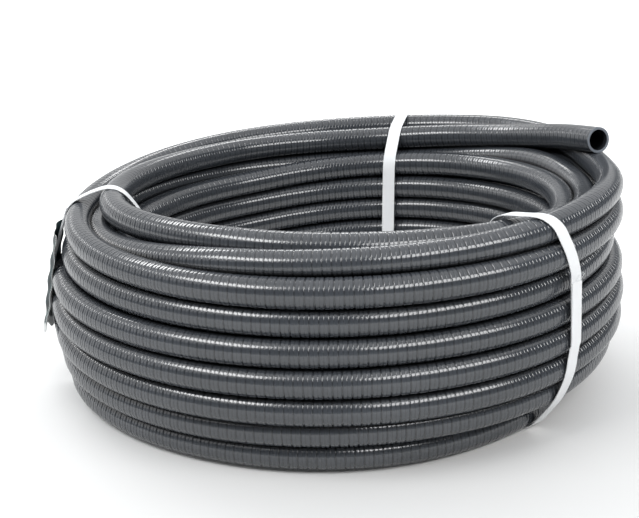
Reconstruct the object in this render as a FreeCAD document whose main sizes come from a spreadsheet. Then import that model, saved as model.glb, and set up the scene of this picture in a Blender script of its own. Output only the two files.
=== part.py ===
"""Coil of grey corrugated plastic conduit, held by three straps, with its free end on top."""
import FreeCAD, Part
import math
import os

from FreeCAD import Vector

os.makedirs("parts", exist_ok=True)
doc = FreeCAD.newDocument("conduit_coil")

# Driving dimensions in millimetres and degrees
SIZES = (
    ("conduit_diameter", 25.0, "outside of the conduit, over its ribs"),
    ("conduit_wall", 2.5, "wall of the conduit at its open end"),
    ("coil_radius", 252.0, "coil axis to the middle of the outer turns"),
    ("row_pitch", 24.2, "height from one outer turn to the next"),
    ("row_count", 7, "outer turns from the floor to the shoulder"),
    ("layer_step", 22.0, "radius from one layer of turns to the next"),
    ("belly", 8.0, "how far the middle rows bulge out"),
    ("foot_tuck", 13.0, "how far the bottom row is drawn in"),
    ("crown_inset", 8.0, "crown turn, in from the outer turns"),
    ("crown_rise", 21.0, "crown turn, up from the shoulder turn"),
    ("seat_gap", 0.9, "free turn to the turns that carry it"),
    ("pocket_gap", 0.3, "room round the free turn where it dives in"),
    ("strap_width", 13.0, "width of a strap"),
    ("strap_thickness", 0.8, "thickness of one layer of strap"),
    ("strap_gap", 0.3, "strap to the turns that it holds"),
    ("strap_lap", 55.0, "length of the welded overlap of a strap"),
    ("strap_back_angle", 75.0, "place of the back strap round the coil"),
    ("strap_left_angle", 190.0, "place of the left strap round the coil"),
    ("strap_right_angle", 313.0, "place of the right strap round the coil"),
    ("label_height", 102.0, "height of the hanging label"),
    ("label_width", 60.0, "width of the label round the coil"),
    ("label_thickness", 0.4, "thickness of the label"),
    ("label_lift", 11.0, "how far the foot of the label curls out"),
)
sheet = doc.addObject("Spreadsheet::Sheet", "Sizes")
for row, (alias, value, note) in enumerate(SIZES, 1):
    sheet.set(f"A{row}", note)
    sheet.set(f"B{row}", str(value))
    sheet.setAlias(f"B{row}", alias)
doc.recompute()


def size(alias):
    """One driving dimension, read from the sheet."""
    return float(sheet.get(alias))


TURN_SIDES = 16
radius = size("conduit_diameter") / 2
base = size("strap_thickness") + size("strap_gap")
first_height = base + radius
row_count = int(size("row_count"))


def outer_turn(row):
    """Middle of an outer turn as (radius, height): a barrel outline, tucked in at the foot."""
    middle = (row_count - 1) / 2
    spread = (abs(row - middle) / middle) ** 2
    drop = size("belly") + (size("foot_tuck") if row < middle else 0)
    reach = size("coil_radius") + size("belly") - drop * spread
    return reach, first_height + row * size("row_pitch")


# Turns that show on the outside, the top and the eye of the coil, as (radius, height)
outer = [outer_turn(row) for row in range(row_count)]
shoulder = outer[-1]
crown = (shoulder[0] - size("crown_inset"), shoulder[1] + size("crown_rise"))
middle_top = (shoulder[0] - size("layer_step"), shoulder[1] - size("row_pitch") / 2)
inner_radius = size("coil_radius") - 2 * size("layer_step")
inner = [(inner_radius, first_height + row * size("row_pitch")) for row in range(row_count - 1)]
turns = outer + [crown, middle_top] + inner[::-1]


def section_face(places):
    """A flat face in the XZ plane with straight edges between places of the section."""
    corners = [Vector(reach, 0, height) for reach, height in places]
    return Part.Face(Part.makePolygon(corners + corners[:1]))


def turn_section(place):
    """The round of one turn, drawn with few sides because it repeats all round the coil."""
    steps = [2 * math.pi * side / TURN_SIDES for side in range(TURN_SIDES)]
    return section_face(
        [(place[0] + radius * math.cos(step), place[1] + radius * math.sin(step)) for step in steps])


def coil_section():
    """One face: the round of each turn that shows, joined by the packed middle of the coil."""
    return section_face(turns).multiFuse([turn_section(place) for place in turns]).removeSplitter()


profile = doc.addObject("Part::Feature", "CoilSection")
profile.Shape = coil_section().Faces[0]

turned = doc.addObject("Part::Revolution", "TurnedCoil")
turned.Source = profile
turned.Axis = Vector(0, 0, 1)
turned.Angle = 360
turned.Solid = True


def seat_between(lower, upper):
    """Middle of a turn that lies in the groove on the eye side of two others."""
    away = size("conduit_diameter") + size("seat_gap")
    across = (upper[0] - lower[0], upper[1] - lower[1])
    span = math.hypot(*across)
    rise = math.sqrt(away ** 2 - (span / 2) ** 2)
    middle = ((lower[0] + upper[0]) / 2, (lower[1] + upper[1]) / 2)
    return middle[0] - rise * across[1] / span, middle[1] + rise * across[0] / span


groove = seat_between(middle_top, crown)


def over_crown(turn_angle, lift):
    """Middle of the free turn where it lies over the crown turn, at an angle round it."""
    away = size("conduit_diameter") + size("seat_gap") + lift
    turn_angle = math.radians(turn_angle)
    return crown[0] + away * math.cos(turn_angle), crown[1] + away * math.sin(turn_angle)


# The free turn from its open end: (angle round the coil, angle round the crown turn, lift)
roll_off = (
    (8.5, 75, 0.3), (22, 95, 0.9), (35, 117, 1.7), (48, 141, 2), (62, 166, 2), (78, 190, 1.7),
)
# Then in the groove beside the crown turn: (angle round the coil, shift outward, shift up)
in_groove = (
    (98, 0, 0.3), (118, 0, 0), (138, -1, 0), (158, -4, 0), (178, -8, -1), (198, -9, -1),
    (218, -7, 0), (238, -5, 0), (258, -3, 0), (278, 0, 0), (296, 8, -8),
)
route = [(angle, over_crown(turn_angle, lift)) for angle, turn_angle, lift in roll_off]
route += [(angle, (groove[0] + out, groove[1] + up)) for angle, out, up in in_groove]
half_step = math.radians(20 / 2)


def route_points():
    """Corners of the path; all but the open end stand out, so that its arcs keep the radius."""
    corners = []
    for angle, (reach, height) in route:
        if corners:
            reach = reach / math.cos(half_step)
        angle = math.radians(angle)
        corners.append(Vector(reach * math.cos(angle), reach * math.sin(angle), height))
    return corners


def rounded_path(corners):
    """Straight runs joined by tangent arcs, each as large as its two runs allow."""
    edges = []
    start = corners[0]
    for before, corner, after in zip(corners, corners[1:], corners[2:]):
        back = before - corner
        ahead = after - corner
        turn = math.pi - back.getAngle(ahead)
        reach = 0.45 * min(back.Length, ahead.Length)
        into = corner + back.normalize() * reach
        out_of = corner + ahead.normalize() * reach
        bend = reach / math.tan(turn / 2)
        half = (back + ahead).normalize()
        centre_distance = math.hypot(bend, reach)
        crest = corner + half * (centre_distance - bend)
        edges.append(Part.LineSegment(start, into).toShape())
        edges.append(Part.Arc(into, crest, out_of).toShape())
        print(f"free turn bend radius {bend:.0f} mm")
        start = out_of
    edges.append(Part.LineSegment(start, corners[-1]).toShape())
    return Part.Wire(edges)


path = doc.addObject("Part::Feature", "FreeTurnPath")
path.Shape = rounded_path(route_points())


def swept_round(name, radius_rule):
    """A round bar along the free turn's path, its radius bound to the sheet."""
    start = route_points()[0]
    heading = route_points()[1] - start
    circle = doc.addObject("Part::Circle", f"{name}Circle")
    circle.setExpression("Radius", radius_rule)
    turn_to = FreeCAD.Rotation(Vector(0, 0, 1), heading)
    circle.Placement = FreeCAD.Placement(start, turn_to)
    bar = doc.addObject("Part::Sweep", name)
    bar.Sections = [circle]
    bar.Spine = (path, [f"Edge{number}" for number in range(1, len(path.Shape.Edges) + 1)])
    bar.Solid = True
    bar.Frenet = False
    return bar


outside = swept_round("FreeTurnOutside", "Sizes.conduit_diameter / 2")
inside = swept_round("FreeTurnInside", "Sizes.conduit_diameter / 2 - Sizes.conduit_wall")
room = swept_round("FreeTurnRoom", "Sizes.conduit_diameter / 2 + Sizes.pocket_gap")

free_turn = doc.addObject("Part::Cut", "FreeTurn")
free_turn.Base = outside
free_turn.Tool = inside
free_turn.Label = "conduit_free_turn"

coil = doc.addObject("Part::Cut", "Coil")
coil.Base = turned
coil.Tool = room
coil.Label = "conduit_coil"
doc.recompute()


def place_on_path(angle):
    """Where the free turn crosses the half plane at an angle round the coil."""
    angle = math.radians(angle)
    outward = Vector(math.cos(angle), math.sin(angle), 0)
    side = Vector(-math.sin(angle), math.cos(angle), 0)
    reach = size("coil_radius") * 2
    plane = Part.makePlane(reach, reach, Vector(0, 0, reach), side, outward)
    hits = path.Shape.section(plane).Vertexes
    return [(hit.Point.dot(outward), hit.Point.z) for hit in hits]


def strap_shape(angle):
    """A tight band round the section of the coil, with a second layer at its welded lap."""
    half_angle = math.degrees(size("strap_width") / 2 / groove[0])
    crossings = [place_on_path(angle + side * half_angle) for side in (-1, 0, 1)]
    centres = sorted(set(turns + sum(crossings, [])))
    hull = []
    for chain in (centres, centres[::-1]):
        side = []
        for place in chain:
            while len(side) > 1 and cross(side[-2], side[-1], place) <= 0:
                side.pop()
            side.append(place)
        hull += side[:-1]
    core = section_face(hull)
    near = radius + size("strap_gap")
    thickness = size("strap_thickness")
    layers = [core.makeOffset2D(near + layer * thickness) for layer in range(3)]
    band = layers[1].cut(layers[0])
    lap_top = shoulder[1] + radius
    lap_box = Part.makePlane(
        size("coil_radius"), size("strap_lap"),
        Vector(size("coil_radius"), 0, lap_top), Vector(0, 1, 0), Vector(1, 0, 0))
    lap = layers[2].cut(layers[1]).common(lap_box)
    width = Vector(0, size("strap_width"), 0)
    solid = band.extrude(width).fuse(lap.extrude(width)).removeSplitter()
    return solid.Solids[0]


def cross(first, second, third):
    """Turn from one edge to the next, above zero to the left."""
    return (second[0] - first[0]) * (third[1] - first[1]) - (second[1] - first[1]) * (third[0] - first[0])


def strap(name, label, angle_alias):
    """One strap, built in the XZ plane and turned to its place round the coil."""
    piece = doc.addObject("Part::Feature", name)
    piece.Shape = strap_shape(size(angle_alias))
    spin = FreeCAD.Rotation(Vector(0, 0, 1), size(angle_alias))
    middle = spin.multVec(Vector(0, -size("strap_width") / 2, 0))
    piece.Placement = FreeCAD.Placement(middle, spin)
    piece.Label = label
    return piece


straps = [
    strap("StrapBack", "strap_back", "strap_back_angle"),
    strap("StrapLeft", "strap_left", "strap_left_angle"),
    strap("StrapRight", "strap_right", "strap_right_angle"),
]


def label_shape():
    """A thin sheet that hangs beside the left strap and curls away from the coil at its foot."""
    near = max(reach for reach, height in outer) + radius + size("strap_gap")
    top = shoulder[1]
    height = size("label_height")
    lift = size("label_lift")
    thickness = size("label_thickness")
    top_reach = shoulder[0] + radius + size("strap_gap")

    def curl(shift):
        start = Vector(top_reach + shift, 0, top)
        crest = Vector(near + lift * 0.35 + shift, 0, top - height * 0.5)
        foot = Vector(near + lift + shift, 0, top - height)
        return start, crest, foot

    inner_curl = curl(0)
    outer_curl = curl(thickness)
    outline = Part.Wire([
        Part.Arc(*inner_curl).toShape(),
        Part.LineSegment(inner_curl[2], outer_curl[2]).toShape(),
        Part.Arc(*outer_curl[::-1]).toShape(),
        Part.LineSegment(outer_curl[0], inner_curl[0]).toShape(),
    ])
    sweep_angle = math.degrees(size("label_width") / near)
    return Part.Face(outline).revolve(Vector(0, 0, 0), Vector(0, 0, 1), -sweep_angle).Solids[0]


label = doc.addObject("Part::Feature", "LabelSheet")
label.Shape = label_shape()
strap_half_angle = math.degrees((size("strap_width") / 2 + size("strap_gap")) / size("coil_radius"))
label.Placement = FreeCAD.Placement(
    Vector(0, 0, 0), FreeCAD.Rotation(Vector(0, 0, 1), size("strap_left_angle") - strap_half_angle))
label.Label = "label"
doc.recompute()

pieces = [coil, free_turn] + straps + [label]
for item in doc.Objects:
    if "Invalid" in item.State or "Error" in item.State:
        raise RuntimeError(f"{item.Name} failed: {item.State}")
for piece in pieces:
    if piece.Shape.isNull() or not piece.Shape.isValid() or len(piece.Shape.Solids) != 1:
        raise RuntimeError(f"{piece.Label} is not one valid solid")
    box = piece.Shape.BoundBox
    print(f"{piece.Label}: {piece.Shape.Volume / 1000:.1f} cm3,"
          f" x {box.XMin:.1f} {box.XMax:.1f} y {box.YMin:.1f} {box.YMax:.1f} z {box.ZMin:.1f} {box.ZMax:.1f}")
for piece in pieces:
    piece.Shape.exportStep(f"parts/{piece.Label}.step")
length = path.Shape.Length
print(f"free turn length {length:.0f} mm, volume ratio {outside.Shape.Volume / (math.pi * radius ** 2 * length):.4f}")
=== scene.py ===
"""A strapped coil of grey corrugated conduit, dressed for rendering and export.

The coil's lay is one smooth line from the open end to the hidden end. The ribbed wall, the
straps and the label are all worked out from that line.
"""

import math

import bpy
import numpy as np
from mathutils import Matrix, Vector


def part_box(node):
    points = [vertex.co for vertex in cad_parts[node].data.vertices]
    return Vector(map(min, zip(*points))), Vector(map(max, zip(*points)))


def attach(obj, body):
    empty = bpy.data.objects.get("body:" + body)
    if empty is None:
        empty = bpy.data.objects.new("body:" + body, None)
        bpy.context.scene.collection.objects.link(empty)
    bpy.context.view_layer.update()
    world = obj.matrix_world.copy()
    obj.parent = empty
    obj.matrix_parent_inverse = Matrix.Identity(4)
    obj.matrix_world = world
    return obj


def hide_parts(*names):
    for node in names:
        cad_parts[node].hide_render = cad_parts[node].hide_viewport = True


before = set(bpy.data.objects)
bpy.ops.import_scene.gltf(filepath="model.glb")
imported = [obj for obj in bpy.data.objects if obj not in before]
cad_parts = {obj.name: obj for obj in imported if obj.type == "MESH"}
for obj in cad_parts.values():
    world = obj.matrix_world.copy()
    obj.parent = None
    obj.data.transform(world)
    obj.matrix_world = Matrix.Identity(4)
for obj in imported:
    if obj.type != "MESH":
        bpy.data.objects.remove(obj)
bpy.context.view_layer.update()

bl_info = {
    "name": "Corrugated conduit coil",
    "version": (1, 0, 0),
    "blender": (4, 5, 0),
    "location": "View3D > Sidebar > Conduit coil",
    "description": "Builds a strapped coil of corrugated conduit with its label and its stage",
    "category": "Object",
}

MM = 0.001
TURNS = 20
# Degrees round the coil from one control point of the conduit's line to the next
STEP = 18
# Half the stretch of line, in metres, over which its heading is taken
HEADING_REACH = 0.004
# Turns of the hidden middle layer, counted from 0 at the open end
HIDDEN_TURNS = range(10, 13)
# Sides of the ribbed wall in the outer, the hidden and the inner layer
OUTER_SIDES, HIDDEN_SIDES, INNER_SIDES = 22, 12, 18
# The wall along one pair of ribs: share of the pair's length, share of the rib depth, crest (which
# sets the painted groove shade), and the lean of the surface in degrees before and after that
# place
RIB_PAIR = (
    (0.00, 1.00, 0.0, 0, 0), (0.12, 0.00, 1.0, -50, -2.5), (0.435, 0.00, 1.0, 2.5, 38),
    (0.50, 0.40, 0.45, 0, 0), (0.565, 0.00, 1.0, -38, -2.5), (0.88, 0.00, 1.0, 2.5, 50),
)
# Steps of the rib pair that a hidden turn keeps: its deep groove and the lands beside it
HIDDEN_STEPS = (0, 1, 5)
# How far the mouth's own bore reaches, and where the inner wall starts within it
MOUTH_DEPTH = 0.12
INNER_WALL_START = 0.1
# Lengthwise cords of a strap, and its points round one section
STRAP_CORDS = 13
STRAP_SIDES = 2 * (2 * STRAP_CORDS + 1)
# Each strap: its name, the solid that it replaces, its degrees round the coil, its lean in
# degrees at lengths round its section, its slack (from, to, how far) and the start of its sway
STRAPS = (
    ("strap_back_band", "strap_back", 74.5, ((0, 0), (0.1, -0.5), (0.3, -0.5), (0.4, 0)), None, 3),
    ("strap_left_band", "strap_left", 190,
     ((0, -4), (0.045, -10), (0.08, -8), (0.105, -3), (0.14, 1), (0.35, 0), (0.5, -4)),
     (0.108, 0.19, 0.011), 5),
    ("strap_right_band", "strap_right", 315,
     ((0, 0), (0.06, 0), (0.1, -2.5), (0.125, -5.5), (0.16, -6), (0.36, -2), (0.5, 0)),
     (0.115, 0.2, 0.003), 8),
)
# Each lamp: its name, place, width, height and power
LAMPS = (
    ("lamp_left", (-0.98, -0.69, 1.30), 1.0, 0.38, 11.5),
    ("lamp_right", (0.85, -1.05, 1.15), 1.5, 0.48, 17),
    ("lamp_back", (-0.88, 0.95, 1.42), 0.8, 0.30, 7),
    ("lamp_behind", (-0.02, 1.74, 1.42), 0.7, 0.22, 4.5),
)


class ConduitSettings(bpy.types.PropertyGroup):
    """Sizes and colours of the conduit."""

    outer_radius: bpy.props.FloatProperty(
        name="Outer radius", description="From the middle to the crest of a rib",
        default=0.0125, min=0.004, max=0.05, unit="LENGTH", precision=4)
    bore_radius: bpy.props.FloatProperty(
        name="Bore radius", description="From the middle to the inner wall",
        default=0.010, min=0.003, max=0.045, unit="LENGTH", precision=4)
    rib_pitch: bpy.props.FloatProperty(
        name="Rib pitch", description="From one pair of ribs to the next along the conduit",
        default=0.0072, min=0.001, max=0.02, unit="LENGTH", precision=5)
    rib_depth: bpy.props.FloatProperty(
        name="Rib depth", description="From the crest of a rib to the groove beside it",
        default=0.001, min=0.0001, max=0.004, unit="LENGTH", precision=5)
    colour: bpy.props.FloatVectorProperty(
        name="Conduit colour", description="Colour of the grey plastic",
        default=(0.047, 0.052, 0.060), subtype="COLOR", size=3, min=0, max=1)


class StrapSettings(bpy.types.PropertyGroup):
    """Sizes and colours of the straps."""

    width: bpy.props.FloatProperty(
        name="Strap width", description="Across the strap",
        default=0.013, min=0.003, max=0.05, unit="LENGTH", precision=4)
    thickness: bpy.props.FloatProperty(
        name="Strap thickness", description="Through the strap",
        default=0.0008, min=0.0002, max=0.003, unit="LENGTH", precision=5)
    lap: bpy.props.FloatProperty(
        name="Lap", description="Length over which the end of a strap covers its start",
        default=0.055, min=0.01, max=0.2, unit="LENGTH")
    colour: bpy.props.FloatVectorProperty(
        name="Strap colour", description="Colour of the white webbing",
        default=(0.86, 0.87, 0.88), subtype="COLOR", size=3, min=0, max=1)


class LabelSettings(bpy.types.PropertyGroup):
    """Sizes and colours of the label."""

    height: bpy.props.FloatProperty(
        name="Label height", description="From the top edge to the foot of the sheet",
        default=0.092, min=0.02, max=0.3, unit="LENGTH")
    width: bpy.props.FloatProperty(
        name="Label width", description="Round the coil",
        default=0.060, min=0.01, max=0.3, unit="LENGTH")
    colour: bpy.props.FloatVectorProperty(
        name="Label colour", description="Main colour of the printed film",
        default=(0.020, 0.042, 0.046), subtype="COLOR", size=3, min=0, max=1)


class StageSettings(bpy.types.PropertyGroup):
    """Floor, lamps and camera."""

    floor_colour: bpy.props.FloatVectorProperty(
        name="Floor colour", description="Colour of the pale floor",
        default=(0.71, 0.705, 0.695), subtype="COLOR", size=3, min=0, max=1)
    lens: bpy.props.FloatProperty(
        name="Lens", description="Focal length of the camera, in millimetres",
        default=69.75, min=10, max=300)


def lay_marks():
    """The lay from the open end: (degrees round the coil, radius mm, height mm)."""
    marks = [
        (8.5, 250.8, 205.1), (17, 243.6, 201.3), (27, 238, 195), (32, 236, 191.5),
        (38, 235, 187.5), (46, 233.5, 183.5), (56, 232, 179.5), (66, 230.5, 175.5),
        (78, 230, 171), (92, 231, 168), (116, 227, 167), (132, 221, 167), (150, 216, 168),
        (170, 214, 169), (190, 213, 170.5), (215, 209.5, 174), (240, 208.5, 177),
        (270, 210, 177), (300, 213, 174), (325, 218.5, 170), (345, 226, 162),
        (360, 229, 160), (371, 230, 164.5), (380, 228.5, 169.5), (390, 227.5, 170.5),
        (405, 228.5, 162), (420, 230, 153), (436, 230, 147), (455, 230, 143),
        (482, 229, 143.5), (510, 227, 145), (545, 225, 147), (575, 227, 153),
        (600, 232.5, 166), (630, 236, 172), (660, 240.5, 176), (690, 244.5, 183.5),
        (702, 245, 185.5), (711, 246.5, 182.5), (720, 248.5, 179.5), (729, 251.5, 179),
        (737, 257, 181.5), (747, 261, 187),
        (765, 260.5, 188.5), (780, 259.5, 184), (795, 257.5, 180), (820, 256.5, 174.5),
        (836, 256, 171), (852, 254.5, 166.5), (871, 251, 160), (890, 247.5, 155),
        (908, 245.5, 152.5), (930, 246, 152.5), (960, 250.5, 152.5), (990, 252.5, 154),
        (1020, 252, 156.5), (1045, 248, 159.5), (1062, 246.5, 160.5),
    ]
    # Each layer is given the number of the turn with which it starts
    return marks + outer_marks(3) + middle_marks(9) + inner_marks(14)


def outer_marks(first):
    """Rows of the outer layer, each stepping down to the next between back and left."""
    # Radius at the left and the front, height, radius at the right and the far right, and the
    # rise above the last row at 28 and at 48 degrees, where the row climbs over the right
    rows = (
        (250.5, 250.5, 129.5, 245, 239.5, 15, 10),
        (260.5, 254, 105.5, 250, 248, 7, 7),
        (263, 258, 82, 253, 250, 5, 5),
        (261.5, 256, 58.5, 252, 249, 4, 4),
        (257, 247, 36.7, 243.5, 241, 4, 4),
        (251, 239, 13.6, 223, 215, 3, 3),
    )
    above = (253, 152.5)
    right_above = 246.5
    marks = []
    for row, (left, front, height, right, far_right, climb, crown) in enumerate(rows):
        start = 360 * (first + row)
        tilt = 1 if row < len(rows) - 1 else 0
        marks += [
            (start, right_above + 2.5, above[1] + 4),
            (start + 12, right_above + 5.5, above[1] + 5),
            (start + 28, above[0] + (3 if row else -2.5), above[1] + climb),
            (start + 48, above[0] + 2, above[1] + crown),
            (start + 95, above[0] + 1, above[1] + 2),
            (start + 145, (above[0] + left) / 2, (above[1] + height) / 2 + 2),
            (start + 180, left, height - tilt),
            (start + 205, left - 1, height - tilt),
            (start + 240, (left + 2 * front) / 3, height - tilt / 2),
            (start + 270, front, height + tilt),
            (start + 310, right, height + 3 * tilt),
            (start + 340, far_right, height + 5 * tilt),
        ]
        above = (front, height)
        right_above = far_right
    return marks


def middle_marks(first):
    """Rows of the hidden middle layer, climbing from the foot to the top of the eye."""
    rows = ((239, 13.6), (217, 24.5), (224.5, 47.5), (230.5, 71.5), (231, 95.5), (228.5, 119.5))
    marks = []
    for row, (below, above) in enumerate(zip(rows, rows[1:])):
        start = 360 * (first + row)
        # The first row stays down for longer, beside the lowest outer turn
        late = 0.25 if row == 0 else 0
        last = row == len(rows) - 2
        out = above[0] - below[0]
        up = above[1] - below[1]
        marks += [
            (start + 20, *below),
            (start + 80, *below),
            (start + 110, below[0] + 0.45 * out, below[1] + (0.25 - late) * up),
            (start + 140, below[0] + 0.85 * out, below[1] + (0.7 - 1.5 * late) * up),
            (start + 165, above[0], below[1] + (0.92 - late / 2) * up),
            (start + 190, *above),
            (start + 235, above[0], above[1] + (4 if last else 0)),
        ]
        if not last:
            marks.append((start + 300, above[0] - 2, above[1] + 8))
            marks.append((start + 335, above[0] - 6, above[1] + 9))
    start = 360 * (first + 4)
    return marks + [
        (start + 255, 226, 142), (start + 270, 221, 150.5), (start + 285, 213.5, 152),
        (start + 300, 207.5, 152), (start + 330, 204.5, 154), (start + 350, 207, 156.5),
    ]


def inner_marks(first):
    """Rows of the inner layer, each sloping down across the back of the eye."""
    rows = ((205, 133, 3), (205.5, 110, 3), (205.5, 86, 2), (205, 60.5, 0), (197, 37, 0),
            (194, 13.6, 0))
    above = (208, 160)
    marks = []
    for row, (reach, height, dip) in enumerate(rows):
        start = 360 * (first + row)
        marks.append((start + 12, *above))
        for angle, share in ((40, 0.15), (72, 0.4), (95, 0.66), (122, 0.97)):
            marks.append((start + angle, above[0] + share * (reach - above[0]),
                          above[1] + share * (height - above[1])))
        marks += [
            (start + 160, reach, height),
            (start + 270, reach, height - dip),
            (start + 335, reach - 4, height - dip),
        ]
        above = (reach, height)
    return marks


def eased(marks, angles):
    """Radius and height at each angle, eased from mark to mark without overshoot."""
    marks = np.array(marks, float)
    spans = np.diff(marks[:, 0])
    slopes = np.diff(marks[:, 1:], axis=0) / spans[:, None]
    ahead, behind = slopes[1:], slopes[:-1]
    same_way = ahead * behind > 0
    total = np.where(same_way, ahead + behind, 1)
    ease = np.vstack([slopes[:1], np.where(same_way, 2 * ahead * behind / total, 0), slopes[-1:]])
    index = np.clip(np.searchsorted(marks[:, 0], angles, side="right") - 1, 0, len(spans) - 1)
    span = spans[index][:, None]
    share = ((angles - marks[index, 0]) / spans[index])[:, None]
    here, there = marks[index, 1:], marks[index + 1, 1:]
    return (here * (1 + 2 * share) * (1 - share) ** 2
            + ease[index] * span * share * (1 - share) ** 2
            + there * share ** 2 * (3 - 2 * share)
            + ease[index + 1] * span * share ** 2 * (share - 1))


def control_points():
    """Control points of the conduit's line in metres, one every STEP degrees."""
    marks = lay_marks()
    start, end = marks[0][0], marks[-1][0]
    count = round((end - start) / STEP)
    angles = np.linspace(start, end, count + 1)
    half = math.radians(angles[1] - angles[0]) / 2
    # One more point close behind the open end keeps the end straight
    angles = np.insert(angles, 1, marks[1][0])
    places = eased(marks, angles) * MM
    # The smooth curve runs inside its control points, so these stand a little further out
    places[2:-1, 0] /= math.cos(half)
    turned = np.radians(angles)
    return np.column_stack(
        [places[:, 0] * np.cos(turned), places[:, 0] * np.sin(turned), places[:, 1]])


def add_line(name, points):
    """A curve object holding one smooth open spline through the control points."""
    curve = bpy.data.curves.new(name, "CURVE")
    curve.dimensions = "3D"
    spline = curve.splines.new("NURBS")
    spline.points.add(len(points) - 1)
    for point, place in zip(spline.points, points):
        point.co = (*place, 1)
    spline.order_u = 3
    spline.use_endpoint_u = True
    curve.resolution_u = 4
    line = bpy.data.objects.new(name, curve)
    bpy.context.scene.collection.objects.link(line)
    return line


def line_places(line):
    """Length run and places along a line's own smooth curve."""
    bare = line.copy()
    bare.data = line.data.copy()
    bare.data.bevel_depth = 0
    bare.data.resolution_u = 12
    bpy.context.scene.collection.objects.link(bare)
    bpy.context.view_layer.update()
    mesh = bpy.data.meshes.new_from_object(bare)
    places = np.empty(len(mesh.vertices) * 3)
    mesh.vertices.foreach_get("co", places)
    places = places.reshape(-1, 3)
    bpy.data.meshes.remove(mesh)
    curve = bare.data
    bpy.data.objects.remove(bare)
    bpy.data.curves.remove(curve)
    run = np.concatenate([[0], np.cumsum(np.linalg.norm(np.diff(places, axis=0), axis=1))])
    return run, places


def places_at(run, places, lengths):
    """Places at lengths along a line."""
    return np.column_stack([np.interp(lengths, run, places[:, axis]) for axis in range(3)])


def along(run, places, lengths):
    """Places, headings, outward and upward directions at lengths along a line."""
    spots = places_at(run, places, lengths)
    heading = (places_at(run, places, lengths + HEADING_REACH)
               - places_at(run, places, lengths - HEADING_REACH))
    heading /= np.linalg.norm(heading, axis=1)[:, None]
    outward = spots * (1, 1, 0)
    outward -= heading * np.sum(outward * heading, axis=1)[:, None]
    outward /= np.linalg.norm(outward, axis=1)[:, None]
    return spots, heading, outward, np.cross(heading, outward)


def spokes_round(outward, upward, sides):
    """Directions from each spot of a line to the points of the ring round it."""
    turn = np.linspace(0, 2 * math.pi, sides, endpoint=False)
    return (outward[:, None, :] * np.cos(turn)[None, :, None]
            + upward[:, None, :] * np.sin(turn)[None, :, None])


def rings_round(spots, spokes, radii):
    """Rings of points round each spot."""
    return spots[:, None, :] + spokes * np.asarray(radii)[:, None, None]


def room_round(run, places, lengths, rings, radius):
    """Room from each point of the rings to the surface of the nearest other turn."""
    angles = np.unwrap(np.arctan2(places[:, 1], places[:, 0]))
    here = np.interp(lengths, run, angles)
    room = np.full(rings.shape[:2], 1.0)
    for turns in range(-TURNS, TURNS + 1):
        there = here + 2 * math.pi * turns
        inside = (there > angles[0]) & (there < angles[-1])
        if turns == 0 or not inside.any():
            continue
        middle = places_at(angles, places, there[inside])
        apart = np.linalg.norm(rings[inside] - middle[:, None, :], axis=2) - radius
        room[inside] = np.minimum(room[inside], apart)
    return room


def mark_points(piece, name, values):
    """Store one number for each point of a piece."""
    mark = piece.data.attributes.new(name, "FLOAT", "POINT")
    mark.data.foreach_set("value", np.asarray(values, np.float32).ravel())


def ring_quads(count, sides, first=0):
    """Quads that join each ring of points to the next."""
    ring = np.arange(count - 1)[:, None] * sides
    side = np.arange(sides)[None, :]
    after = (side + 1) % sides
    quads = np.stack([ring + side, ring + after, ring + sides + after, ring + sides + side], -1)
    return quads.reshape(-1, 4) + first


def mesh_piece(name, corners, faces, material, sharp=None):
    """A smooth mesh object from corners and faces."""
    mesh = bpy.data.meshes.new(name)
    mesh.from_pydata(corners, [], faces)
    mesh.shade_smooth()
    if sharp:
        mesh.set_sharp_from_angle(angle=math.radians(sharp))
    mesh.materials.append(material)
    piece = bpy.data.objects.new(name, mesh)
    bpy.context.scene.collection.objects.link(piece)
    return piece


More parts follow.
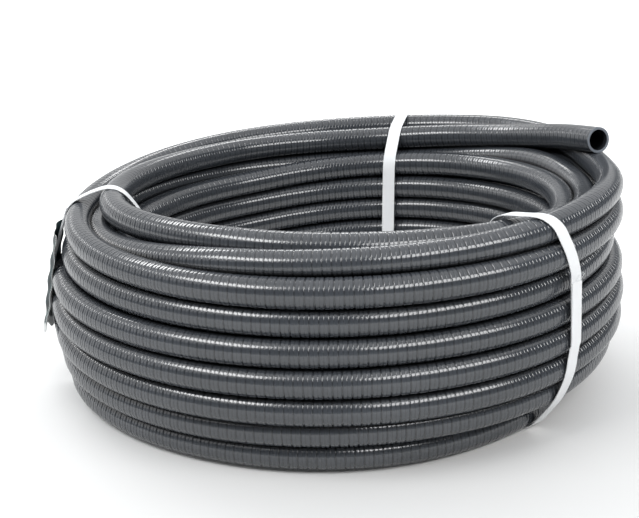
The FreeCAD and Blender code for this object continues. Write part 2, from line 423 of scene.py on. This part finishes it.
class NodeKit:
    """A node tree with short ways to add its nodes and to join them."""

    def __init__(self, tree):
        self.tree = tree
        self.link = tree.links.new

    def add(self, kind, **values):
        """A new node with its settings and the values of its inputs."""
        node = self.tree.nodes.new(kind)
        for key, value in values.items():
            if key in node.inputs:
                node.inputs[key].default_value = value
            else:
                setattr(node, key, value)
        return node

    def maths(self, operation, *values, clamp=False):
        """The result of one operation on numbers or sockets."""
        node = self.add("ShaderNodeMath", operation=operation, use_clamp=clamp)
        for socket, value in zip(node.inputs, values):
            if isinstance(value, float):
                socket.default_value = value
            else:
                self.link(value, socket)
        return node.outputs[0]

    def ranged(self, value, source, target=(0.0, 1.0), kind="SMOOTHSTEP"):
        """A value carried over from one range to another."""
        node = self.add("ShaderNodeMapRange", interpolation_type=kind)
        for name, number in zip(("From Min", "From Max", "To Min", "To Max"), (*source, *target)):
            node.inputs[name].default_value = number
        self.link(value, node.inputs["Value"])
        return node.outputs["Result"]

    def noise(self, scale, detail):
        """Noise over the object's own space."""
        node = self.add("ShaderNodeTexNoise", Scale=scale, Detail=detail)
        self.link(self.add("ShaderNodeTexCoord").outputs["Object"], node.inputs["Vector"])
        return node.outputs["Fac"]

    def tone(self, value, dark, light, ends=(0.0, 1.0)):
        """A colour from dark to light as a value goes from one end to the other."""
        node = self.add("ShaderNodeValToRGB")
        for stop, place, colour in zip(node.color_ramp.elements, ends, (dark, light)):
            stop.position = place
            stop.color = (*colour, 1)
        self.link(value, node.inputs["Fac"])
        return node.outputs["Color"]

    def mark(self, name):
        """A number that the points of a piece carry."""
        return self.add("ShaderNodeAttribute", attribute_name=name).outputs["Fac"]

    def mixed(self, share, plain, socket, other):
        """A plain colour, set on one socket of a mix, and another colour on the other socket."""
        node = self.add("ShaderNodeMix", data_type="RGBA", blend_type="MIX")
        node.inputs[socket].default_value = (*plain, 1)
        self.link(share, node.inputs["Factor"])
        self.link(other, node.inputs["B" if socket == "A" else "A"])
        return node.outputs["Result"]

    def bump(self, value, strength, distance, shader):
        """Let a value raise the shader's surface a little."""
        node = self.add("ShaderNodeBump", Strength=strength, Distance=distance)
        self.link(value, node.inputs["Height"])
        self.link(node.outputs["Normal"], shader.inputs["Normal"])


def new_material(name):
    """A material with its principled shader and its node kit."""
    material = bpy.data.materials.new(name)
    material.use_nodes = True
    tree = material.node_tree
    return material, tree.nodes["Principled BSDF"], NodeKit(tree)


def conduit_plastic(settings):
    """Grey plastic: mottled, with painted shade darkening the grooves and the creases between
    turns.
    """
    material, shader, nodes = new_material("conduit_plastic")
    base = np.array(settings.colour)
    fine = nodes.noise(900.0, 2.0)
    mottled = nodes.tone(nodes.noise(14.0, 3.0), base * 0.88, base * 1.10, (0.35, 0.70))
    # Painted shade: where the crest mark is low, in the grooves, the colour falls to half the
    # plastic's.
    groove_shaded = nodes.mixed(nodes.mark("crest"), base * 0.50, "A", mottled)
    # Painted shade: where little room is left to the next turn, in the creases, the colour falls
    # nearly to black.
    open_air = nodes.ranged(nodes.mark("room"), (0.0002, 0.0050))
    crease_shaded = nodes.mixed(open_air, base * 0.10, "A", groove_shaded)
    nodes.link(crease_shaded, shader.inputs["Base Color"])
    shader.inputs["Specular IOR Level"].default_value = 0.9
    rough = nodes.ranged(fine, (0.0, 1.0), (0.11, 0.18), "LINEAR")
    nodes.link(rough, shader.inputs["Roughness"])
    nodes.bump(fine, 0.12, 0.0002, shader)
    return material


def cut_edge(settings):
    """The sawn wall at the open end: duller than the moulded skin, and paler, partly as a matt
    sawn face and partly as painted light from the lamps in front.
    """
    material, shader, nodes = new_material("cut_edge")
    base = np.array(settings.colour)
    noise = nodes.noise(1500.0, 3.0)
    # Painted light in part: the cut face is made two to four times paler than the plastic, for the
    # lamplight it catches.
    nodes.link(nodes.tone(noise, base * 2.2, base * 4.5), shader.inputs["Base Color"])
    shader.inputs["Roughness"].default_value = 0.6
    nodes.bump(noise, 0.3, 0.0002, shader)
    return material


def strap_webbing(settings):
    """White strap: a fine matt grain over its lengthwise cords."""
    material, shader, nodes = new_material("strap_webbing")
    base = np.array(settings.colour)
    noise = nodes.noise(2500.0, 2.0)
    tone = nodes.tone(noise, base * 0.93, np.minimum(base * 1.04, 1))
    nodes.link(tone, shader.inputs["Base Color"])
    shader.inputs["Roughness"].default_value = 0.55
    nodes.bump(noise, 0.3, 0.0002, shader)
    return material


def label_film(settings):
    """Printed film without any words: dark, cloudy, with a pale foot and a dotted edge."""
    material, shader, nodes = new_material("label_film")
    base = np.array(settings.colour)
    clouds = nodes.noise(140.0, 4.0)
    tone = nodes.tone(clouds, base * 0.25, base * (1.2, 1.6, 1.6), (0.42, 0.70))
    down = nodes.mark("down")
    foot = nodes.ranged(down, (0.925, 0.94), kind="LINEAR")
    edge = nodes.maths("GREATER_THAN", nodes.mark("across"), 0.93)
    beats = nodes.maths("SINE", nodes.maths("MULTIPLY", down, 260.0))
    dots = nodes.maths("MULTIPLY", edge, beats)
    pale = nodes.maths("MAXIMUM", foot, dots, clamp=True)
    printed = nodes.mixed(pale, (0.62, 0.63, 0.62), "B", tone)
    nodes.link(printed, shader.inputs["Base Color"])
    shader.inputs["Roughness"].default_value = 0.55
    shader.inputs["Specular IOR Level"].default_value = 0.15
    nodes.bump(clouds, 0.35, 0.001, shader)
    return material


def label_back():
    """The pale unprinted plastic that shows at the film's cut edges."""
    material, shader, nodes = new_material("label_back")
    tone = nodes.tone(nodes.noise(120.0, 3.0), (0.50, 0.51, 0.50), (0.66, 0.67, 0.66))
    nodes.link(tone, shader.inputs["Base Color"])
    shader.inputs["Roughness"].default_value = 0.5
    return material


class CONDUIT_OT_line(bpy.types.Operator):
    """Lay the conduit's line round the coil and build its inner wall"""

    bl_idname = "conduit_coil.line"
    bl_label = "Conduit line"

    def execute(self, context):
        settings = context.scene.conduit_settings
        line = add_line("conduit", control_points())
        line.data.bevel_depth = settings.bore_radius
        line.data.bevel_resolution = 2
        run, _ = line_places(line)
        line.data.bevel_factor_start = INNER_WALL_START / run[-1]
        line.data.materials.append(conduit_plastic(settings))
        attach(line, "root")
        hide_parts("conduit_coil", "conduit_free_turn")
        return {"FINISHED"}


class CONDUIT_OT_turns(bpy.types.Operator):
    """Build the ribbed wall turn by turn, and the open end"""

    bl_idname = "conduit_coil.turns"
    bl_label = "Ribbed turns"

    def execute(self, context):
        settings = context.scene.conduit_settings
        line = bpy.data.objects["conduit"]
        material = line.data.materials[0]
        run, places = line_places(line)
        pitch = settings.rib_pitch
        ribs = int(run[-1] / pitch)
        angles = np.unwrap(np.arctan2(places[:, 1], places[:, 0]))
        turn_at = (angles - angles[0]) / (2 * math.pi)
        pieces = []
        for turn in range(TURNS):
            from_rib = round(np.interp(turn, turn_at, run) / pitch)
            to_rib = min(round(np.interp(turn + 1, turn_at, run) / pitch), ribs)
            if to_rib > from_rib:
                ribs_here = np.arange(from_rib, to_rib)
                pieces.append(self.turn(settings, material, run, places, turn, ribs_here))
        pieces.append(self.mouth(settings, material, run, places))
        for piece in pieces:
            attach(piece, "root")
        return {"FINISHED"}

    def turn(self, settings, material, run, places, turn, ribs):
        """One turn of ribbed wall; hidden turns keep only the deep grooves."""
        if turn in HIDDEN_TURNS:
            sides = HIDDEN_SIDES
            steps = [RIB_PAIR[number] for number in HIDDEN_STEPS]
        else:
            sides = OUTER_SIDES if turn < HIDDEN_TURNS[0] else INNER_SIDES
            steps = RIB_PAIR
        shares, depths, crests, before, after = (np.array(column) for column in zip(*steps))
        count = len(ribs)
        lengths = (np.append((ribs[:, None] + shares[None, :]).ravel(), ribs[-1] + 1)
                   * settings.rib_pitch)
        radii = (settings.outer_radius
                 - settings.rib_depth * np.append(np.tile(depths, count), depths[0]))
        crest = np.append(np.tile(crests, count), crests[0])
        spots, heading, outward, upward = along(run, places, lengths)
        spokes = spokes_round(outward, upward, sides)
        rings = rings_round(spots, spokes, radii)
        piece = mesh_piece(f"conduit_turn_{turn + 1:02d}", rings.reshape(-1, 3),
                           ring_quads(len(lengths), sides), material)
        self.lean_faces(piece, spokes, heading, np.radians(np.tile(after, count)),
                        np.radians(np.append(np.tile(before, count)[1:], 0)))
        # The crest mark carries the painted shade of the grooves.
        mark_points(piece, "crest", np.repeat(crest, sides))
        # The room mark carries the painted shade of the creases between turns.
        mark_points(piece, "room", room_round(run, places, lengths, rings, settings.outer_radius))
        return piece

    def lean_faces(self, piece, spokes, heading, start_lean, end_lean):
        """Give each face of a turn its own lean along the line, so that its lands stay flat."""

        def leaning(part, lean):
            return (spokes[part] * np.cos(lean)[:, None, None]
                    + (heading[part] * np.sin(lean)[:, None])[:, None, :])

        start = leaning(slice(None, -1), start_lean)
        end = leaning(slice(1, None), end_lean)
        facing = [start, np.roll(start, -1, axis=1), np.roll(end, -1, axis=1), end]
        piece.data.normals_split_custom_set(np.stack(facing, axis=2).reshape(-1, 3).tolist())

    def mouth(self, settings, material, run, places):
        """The cut end: its rim and the first stretch of the bore."""
        sides = 48
        bore = settings.bore_radius
        wall = settings.outer_radius
        chamfer = 0.0003
        ring_depth = 0.0003
        ring_half_width = 0.0007
        steps = [(0.0006, wall - 0.0001), (0, wall), (-chamfer, wall - chamfer),
                 (-chamfer, bore + chamfer), (0, bore), (0.002, bore)]
        depth = 0.003
        while depth < MOUTH_DEPTH:
            steps += [(depth, bore), (depth + ring_half_width, bore + ring_depth),
                      (depth + 2 * ring_half_width, bore)]
            depth += settings.rib_pitch / 2
        steps.append((depth, bore - 0.0005))
        lengths = np.array([length for length, _ in steps])
        radii = [radius for _, radius in steps]
        spots, heading, outward, upward = along(run, places, np.maximum(lengths, 0))
        spots += heading * np.minimum(lengths, 0)[:, None]
        rings = rings_round(spots, spokes_round(outward, upward, sides), radii)
        piece = mesh_piece("open_end_rim", rings.reshape(-1, 3), ring_quads(len(steps), sides),
                           material, 40)
        piece.data.materials.append(cut_edge(settings))
        for number, face in enumerate(piece.data.polygons):
            face.material_index = 1 if sides <= number < 4 * sides else 0
        mark_points(piece, "crest", np.ones(len(piece.data.vertices)))
        # Painted shade: the bore darkens with depth, as if its room shrank
        mark_points(piece, "room", np.repeat(0.004 - 0.35 * np.maximum(lengths, 0), sides))
        return piece


def section_places(run, places, angle):
    """Where the line crosses the half plane at an angle round the coil, as (radius, height)."""
    angles = np.unwrap(np.arctan2(places[:, 1], places[:, 0]))
    first = math.ceil((angles[0] - math.radians(angle)) / (2 * math.pi))
    last = math.floor((angles[-1] - math.radians(angle)) / (2 * math.pi))
    crossings = math.radians(angle) + np.arange(first, last + 1) * 2 * math.pi
    return [(math.hypot(x, y), z) for x, y, z in places_at(angles, places, crossings)]


def outline_round(centres, radius):
    """The taut outline round circles of one radius: a closed loop of (radius, height)."""
    turn = np.linspace(0, 2 * math.pi, 72, endpoint=False)
    cloud = sorted({
        (round(reach + radius * math.cos(a), 7), round(height + radius * math.sin(a), 7))
        for reach, height in centres for a in turn})

    def half(points):
        chain = []
        for x, y in points:
            while len(chain) > 1:
                (x0, y0), (x1, y1) = chain[-2:]
                if (x1 - x0) * (y - y0) - (y1 - y0) * (x - x0) > 0:
                    break
                chain.pop()
            chain.append((x, y))
        return chain

    return np.array(half(cloud)[:-1] + half(cloud[::-1])[:-1])


class CONDUIT_OT_straps(bpy.types.Operator):
    """Wrap the three straps round the coil, each lapped on the outside"""

    bl_idname = "conduit_coil.straps"
    bl_label = "Straps"

    def execute(self, context):
        settings = context.scene.strap_settings
        material = strap_webbing(settings)
        run, places = line_places(bpy.data.objects["conduit"])
        for name, node, angle, leans, slack, start in STRAPS:
            loop, reach = self.section(settings, run, places, angle, leans)
            piece = self.band(settings, material, loop, reach, name, angle, leans, slack, start)
            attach(piece, "root")
            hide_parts(node)
            if name == "strap_right_band":
                fray = self.fray(material, piece)
                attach(fray, "root")
        return {"FINISHED"}

    def section(self, settings, run, places, angle, leans):
        """The closed outline that a strap follows, from its outside, with the length run."""
        coil_radius = 0.24
        middle_height = 0.118
        radius = bpy.context.scene.conduit_settings.outer_radius + 0.0003
        half = math.degrees(settings.width / 2 / coil_radius)
        degrees = sorted({lean for _, lean in leans})
        centres = [place for edge in (-half, 0, half) for lean in degrees
                   for place in section_places(run, places, angle + (edge + lean))]
        loop = outline_round(centres, radius)
        outside = int(np.argmax(loop[:, 0] - 2 * np.abs(loop[:, 1] - middle_height)))
        loop = np.roll(loop, -outside, axis=0)
        loop = np.vstack([loop, loop[:1]])
        steps = np.linalg.norm(np.diff(loop, axis=0), axis=1)
        return loop, np.concatenate([[0], np.cumsum(steps)])

    def band(self, settings, material, loop, reach, name, angle, leans, slack, start):
        """One strap: a band of lengthwise cords that follows the taut outline of the coil."""
        spacing = 0.0022
        clearance = 0.0009
        around = reach[-1]
        steps = np.arange(0, around + settings.lap, spacing)

        def places_on(shift):
            wrapped = (steps + shift) % around
            return np.column_stack([np.interp(wrapped, reach, loop[:, axis]) for axis in range(2)])

        evened = [places_on(shift) for shift in (-0.009, -0.006, -0.003, 0, 0.003, 0.006, 0.009)]
        spots = np.mean(evened, axis=0)
        heading = places_on(0.001) - places_on(-0.001)
        heading /= np.linalg.norm(heading, axis=1)[:, None]
        normal = np.column_stack([heading[:, 1], -heading[:, 0]])
        wrapped = steps % around
        # The end of the strap rises onto its own start and lies on it
        onto_start = [around - 0.012, around - 0.001]
        lift = clearance + np.interp(steps, onto_start, [0, settings.thickness + 0.0001])
        if slack:
            near, far, height = slack
            share = np.clip((wrapped - near) / (far - near), 0, 1)
            lift = lift + height * np.sin(math.pi * share) ** 2
        lean = np.radians(angle + np.interp(wrapped, *zip(*leans)))
        groove_depth = 0.00012
        across = np.linspace(-0.5, 0.5, STRAP_SIDES // 2)
        ridge = np.where(np.arange(STRAP_SIDES // 2) % 2 == 0, -groove_depth, 0.0)
        outward = np.column_stack([np.cos(lean), np.sin(lean), 0 * lean])
        side = np.column_stack([-np.sin(lean), np.cos(lean), 0 * lean])
        sway = 0.0004 * np.sin(steps * 21 + start)
        # Outer face, then inner face: places across, depths, and the lowest height over the floor
        layers = ((across, settings.thickness + ridge, 0.0001), (across[::-1], 0 * ridge, 0.0006))
        corners = []
        for columns, depths, lowest in layers:
            for column, depth in zip(columns, depths):
                place = spots + normal * (lift + depth)[:, None]
                corner = place[:, :1] * outward + side * (column * settings.width + sway)[:, None]
                corner[:, 2] = np.maximum(place[:, 1], lowest)
                corners.append(corner)
        rings = np.stack(corners, 1)
        count = len(steps)
        faces = [tuple(face) for face in ring_quads(count, STRAP_SIDES)]
        faces.append(tuple(range(STRAP_SIDES)))
        faces.append(tuple(range((count - 1) * STRAP_SIDES, count * STRAP_SIDES))[::-1])
        return mesh_piece(name, rings.reshape(-1, 3), faces, material, 50)

    def fray(self, material, band):
        """Loose threads at the cut end of the strap's lap."""
        threads, knots, thread_sides, thread_radius = 9, 7, 4, 0.00013
        corners = np.empty(len(band.data.vertices) * 3)
        band.data.vertices.foreach_get("co", corners)
        rings = corners.reshape(-1, STRAP_SIDES, 3)
        end, before = rings[-1], rings[-3]
        share = np.linspace(0, 1, knots)
        turn = np.linspace(0, 2 * math.pi, thread_sides, endpoint=False)[:, None]
        rng = np.random.default_rng(17)
        points, faces = [], []
        for _ in range(threads):
            column = rng.integers(0, STRAP_SIDES // 2)
            root = end[column]
            ahead = (root - before[column]) / np.linalg.norm(root - before[column])
            out = root * (1, 1, 0) / np.linalg.norm(root[:2])
            aside = np.cross(out, ahead)
            length = rng.uniform(0.004, 0.010)
            bend = rng.uniform(-0.7, 0.9)
            spine = (root + ahead * (share * length)[:, None] + out * (share * 0.0022)[:, None]
                     + aside * (bend * length * share ** 2)[:, None])
            ring = thread_radius * (out * np.cos(turn) + aside * np.sin(turn))
            faces.extend(tuple(face) for face in ring_quads(knots, thread_sides, len(points)))
            points.extend((spine[:, None, :] + ring[None, :, :]).reshape(-1, 3).tolist())
        return mesh_piece("strap_right_fray", points, faces, material)


class CONDUIT_OT_label(bpy.types.Operator):
    """Build the curled label at the left of the coil"""

    bl_idname = "conduit_coil.label"
    bl_label = "Label"

    def execute(self, context):
        settings = context.scene.label_settings
        film = 0.0003
        middle_degrees = 186
        bend_radius = 0.272
        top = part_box("label")[1][2] - 0.012
        columns, rows = 25, 41
        across, down = np.meshgrid(np.linspace(0, 1, columns), np.linspace(0, 1, rows))
        angle = np.radians(middle_degrees) + (across - 0.5) * settings.width / bend_radius
        # Reach from the coil's axis, from the top of the sheet to its curled foot
        crown = np.interp(down, (0, 0.23, 0.43, 0.65, 0.85, 1),
                          (0.2690, 0.2725, 0.2765, 0.2805, 0.2838, 0.2870))
        sag = 0.0035 * (1 - np.sin(math.pi * across ** 0.8))
        crumple = 0.0013 * np.sin(across * 9 + 11 * down) * np.sin(down * 17 + 2)
        reach = crown - sag + crumple
        point = (0.013 * (1 - across) + 0.003 * np.sin(across * 19)) * down ** 4
        height = top - down * settings.height - point
        outer = np.stack([reach * np.cos(angle), reach * np.sin(angle), height], -1).reshape(-1, 3)
        thinner = 1 - film / 0.27
        inner = outer * (thinner, thinner, 1)
        grid = np.arange(rows * columns).reshape(rows, columns)
        cell = grid[:-1, :-1].ravel()
        quads = np.column_stack([cell, cell + columns, cell + columns + 1, cell + 1])
        edges = (grid[:, 0], grid[-1, 1:], grid[-2::-1, -1], grid[0, -2:0:-1])
        rim = np.concatenate(edges).tolist()
        count = rows * columns
        sides = [(a, a + count, b + count, b) for a, b in zip(rim, rim[1:] + rim[:1])]
        faces = quads.tolist() + (quads[:, ::-1] + count).tolist() + sides
        piece = mesh_piece("label_sheet", np.vstack([outer, inner]).tolist(), faces,
                           label_film(settings), 40)
        piece.data.materials.append(label_back())
        for number, face in enumerate(piece.data.polygons):
            face.material_index = 0 if number < 2 * len(quads) else 1
        mark_points(piece, "across", np.tile(across.ravel(), 2))
        mark_points(piece, "down", np.tile(down.ravel(), 2))
        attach(piece, "root")
        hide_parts("label")
        return {"FINISHED"}


class CONDUIT_OT_stage(bpy.types.Operator):
    """Set the floor, the soft lamps, the world and the camera"""

    bl_idname = "conduit_coil.stage"
    bl_label = "Stage"

    def execute(self, context):
        settings = context.scene.stage_settings
        self.floor(settings)
        self.world(context)
        self.lamps()
        self.camera(context, settings)
        context.scene.view_settings.view_transform = "Standard"
        return {"FINISHED"}

    def floor(self, settings):
        """A wide pale floor with painted light: a glow that whitens it towards the back and far
        away.
        """
        material, shader, nodes = new_material("studio_floor")
        shader.inputs["Base Color"].default_value = (*settings.floor_colour, 1)
        shader.inputs["Roughness"].default_value = 0.6
        seen = nodes.add("ShaderNodeLightPath").outputs
        mirrored = nodes.maths("MAXIMUM", seen["Is Glossy Ray"], seen["Is Transmission Ray"])
        either = nodes.maths("MAXIMUM", seen["Is Camera Ray"], mirrored)
        spot = nodes.add("ShaderNodeTexCoord").outputs["Object"]
        apart = nodes.add("ShaderNodeSeparateXYZ")
        nodes.link(spot, apart.inputs["Vector"])
        # Painted light: the glow grows towards the back, as if lit from behind, and with distance;
        # camera and mirrored rays see it.
        back = nodes.ranged(apart.outputs["Y"], (-0.35, 0.6), (0.0, 0.7))
        reach = nodes.add("ShaderNodeVectorMath", operation="LENGTH")
        nodes.link(spot, reach.inputs[0])
        far = nodes.ranged(reach.outputs["Value"], (0.55, 1.7), (0.0, 0.5))
        strength = nodes.maths("MULTIPLY", either, nodes.maths("MAXIMUM", back, far))
        painted_glow = nodes.add("ShaderNodeEmission", Color=(1, 1, 1, 1))
        nodes.link(strength, painted_glow.inputs["Strength"])
        both = nodes.add("ShaderNodeAddShader")
        nodes.link(shader.outputs[0], both.inputs[0])
        nodes.link(painted_glow.outputs[0], both.inputs[1])
        nodes.link(both.outputs[0], nodes.tree.nodes["Material Output"].inputs["Surface"])
        half_side = 6.0
        corners = [(x * half_side, y * half_side, 0)
                   for x, y in ((-1, -1), (1, -1), (1, 1), (-1, 1))]
        mesh_piece("floor", corners, [(0, 1, 2, 3)], material)

    def world(self, context):
        """Soft light from above, behind and the left, and a white backdrop."""
        world = bpy.data.worlds.new("studio_world")
        world.use_nodes = True
        nodes = NodeKit(world.node_tree)
        light = nodes.tree.nodes["Background"]
        light.inputs["Color"].default_value = (0.92, 0.96, 1.0, 1)
        spot = nodes.add("ShaderNodeTexCoord").outputs["Generated"]
        facing = nodes.add("ShaderNodeVectorMath", operation="DOT_PRODUCT")
        # The middle of the bright part of the sky: high up, behind and to the left
        facing.inputs[1].default_value = (-0.30, 0.42, 0.856)
        nodes.link(spot, facing.inputs[0])
        toward = facing.outputs["Value"]
        edge = (0.37, 0.48)
        apart = nodes.add("ShaderNodeSeparateXYZ")
        nodes.link(spot, apart.inputs["Vector"])
        above = nodes.ranged(toward, edge, (0.06, 1.15))
        low = nodes.ranged(apart.outputs["Z"], (0.0, 0.45), (0.32, 0.0))
        nodes.link(nodes.maths("MAXIMUM", above, low), light.inputs["Strength"])
        white = nodes.add("ShaderNodeBackground", Color=(1, 1, 1, 1), Strength=1.0)
        seen = nodes.add("ShaderNodeLightPath").outputs
        glossy = nodes.maths("MULTIPLY", seen["Is Glossy Ray"], nodes.ranged(toward, edge))
        clear = nodes.maths("MAXIMUM", glossy, seen["Is Transmission Ray"])
        either = nodes.maths("MAXIMUM", seen["Is Camera Ray"], clear)
        chosen = nodes.add("ShaderNodeMixShader")
        nodes.link(either, chosen.inputs["Fac"])
        nodes.link(light.outputs[0], chosen.inputs[1])
        nodes.link(white.outputs[0], chosen.inputs[2])
        nodes.link(chosen.outputs[0], nodes.tree.nodes["World Output"].inputs["Surface"])
        context.scene.world = world

    def lamps(self):
        """Two long lamps in front, at the left and the right, and two weaker ones behind."""
        for name, place, width, height, power in LAMPS:
            light = bpy.data.lights.new(name, "AREA")
            light.shape = "RECTANGLE"
            light.size = width
            light.size_y = height
            light.energy = power
            lamp = bpy.data.objects.new(name, light)
            lamp.location = place
            toward_coil = Vector((0, 0, 0.1)) - Vector(place)
            lamp.rotation_euler = toward_coil.to_track_quat("-Z", "Y").to_euler()
            lamp.visible_camera = False
            bpy.context.scene.collection.objects.link(lamp)

    def camera(self, context, settings):
        """The camera: a step back and above, tipped down on the near rim of the coil."""
        place = (0, -1.135, 0.458)
        pitch, yaw, roll = (math.radians(angle) for angle in (17.4, -1.1, -1.4))
        forward = Vector(
            (math.sin(yaw) * math.cos(pitch), math.cos(yaw) * math.cos(pitch), -math.sin(pitch)))
        level = forward.cross(Vector((0, 0, 1))).normalized()
        above = level.cross(forward)
        right = level * math.cos(roll) + above * math.sin(roll)
        up = above * math.cos(roll) - level * math.sin(roll)
        view = bpy.data.cameras.new("camera")
        view.sensor_width = 36
        view.lens = settings.lens
        camera = bpy.data.objects.new("camera", view)
        turned = Matrix((right, up, -forward)).transposed().to_4x4()
        camera.matrix_world = Matrix.Translation(place) @ turned
        context.scene.collection.objects.link(camera)
        context.scene.camera = camera


class CONDUIT_PT_panel(bpy.types.Panel):
    """The coil's pieces in the sidebar"""

    bl_idname = "CONDUIT_PT_panel"
    bl_label = "Conduit coil"
    bl_space_type = "VIEW_3D"
    bl_region_type = "UI"
    bl_category = "Conduit coil"

    def draw(self, context):
        scene = context.scene
        for settings in (scene.conduit_settings, scene.strap_settings, scene.label_settings,
                         scene.stage_settings):
            box = self.layout.box()
            for name in settings.__annotations__:
                box.prop(settings, name)
        for operator in OPERATORS:
            self.layout.operator(operator.bl_idname)


SETTINGS = {
    "conduit_settings": ConduitSettings,
    "strap_settings": StrapSettings,
    "label_settings": LabelSettings,
    "stage_settings": StageSettings,
}
OPERATORS = (
    CONDUIT_OT_line, CONDUIT_OT_turns, CONDUIT_OT_straps, CONDUIT_OT_label, CONDUIT_OT_stage)


def register():
    """Register the classes and hang the settings on the scene."""
    for kind in (*SETTINGS.values(), *OPERATORS, CONDUIT_PT_panel):
        bpy.utils.register_class(kind)
    for name, kind in SETTINGS.items():
        setattr(bpy.types.Scene, name, bpy.props.PointerProperty(type=kind))


def unregister():
    """Take the settings and the classes away again."""
    for name in SETTINGS:
        delattr(bpy.types.Scene, name)
    for kind in (CONDUIT_PT_panel, *reversed(OPERATORS), *SETTINGS.values()):
        bpy.utils.unregister_class(kind)


def main():
    """Build every piece in order."""
    register()
    bpy.ops.conduit_coil.line()
    bpy.ops.conduit_coil.turns()
    bpy.ops.conduit_coil.straps()
    bpy.ops.conduit_coil.label()
    bpy.ops.conduit_coil.stage()


if __name__ == "__main__":
    main()
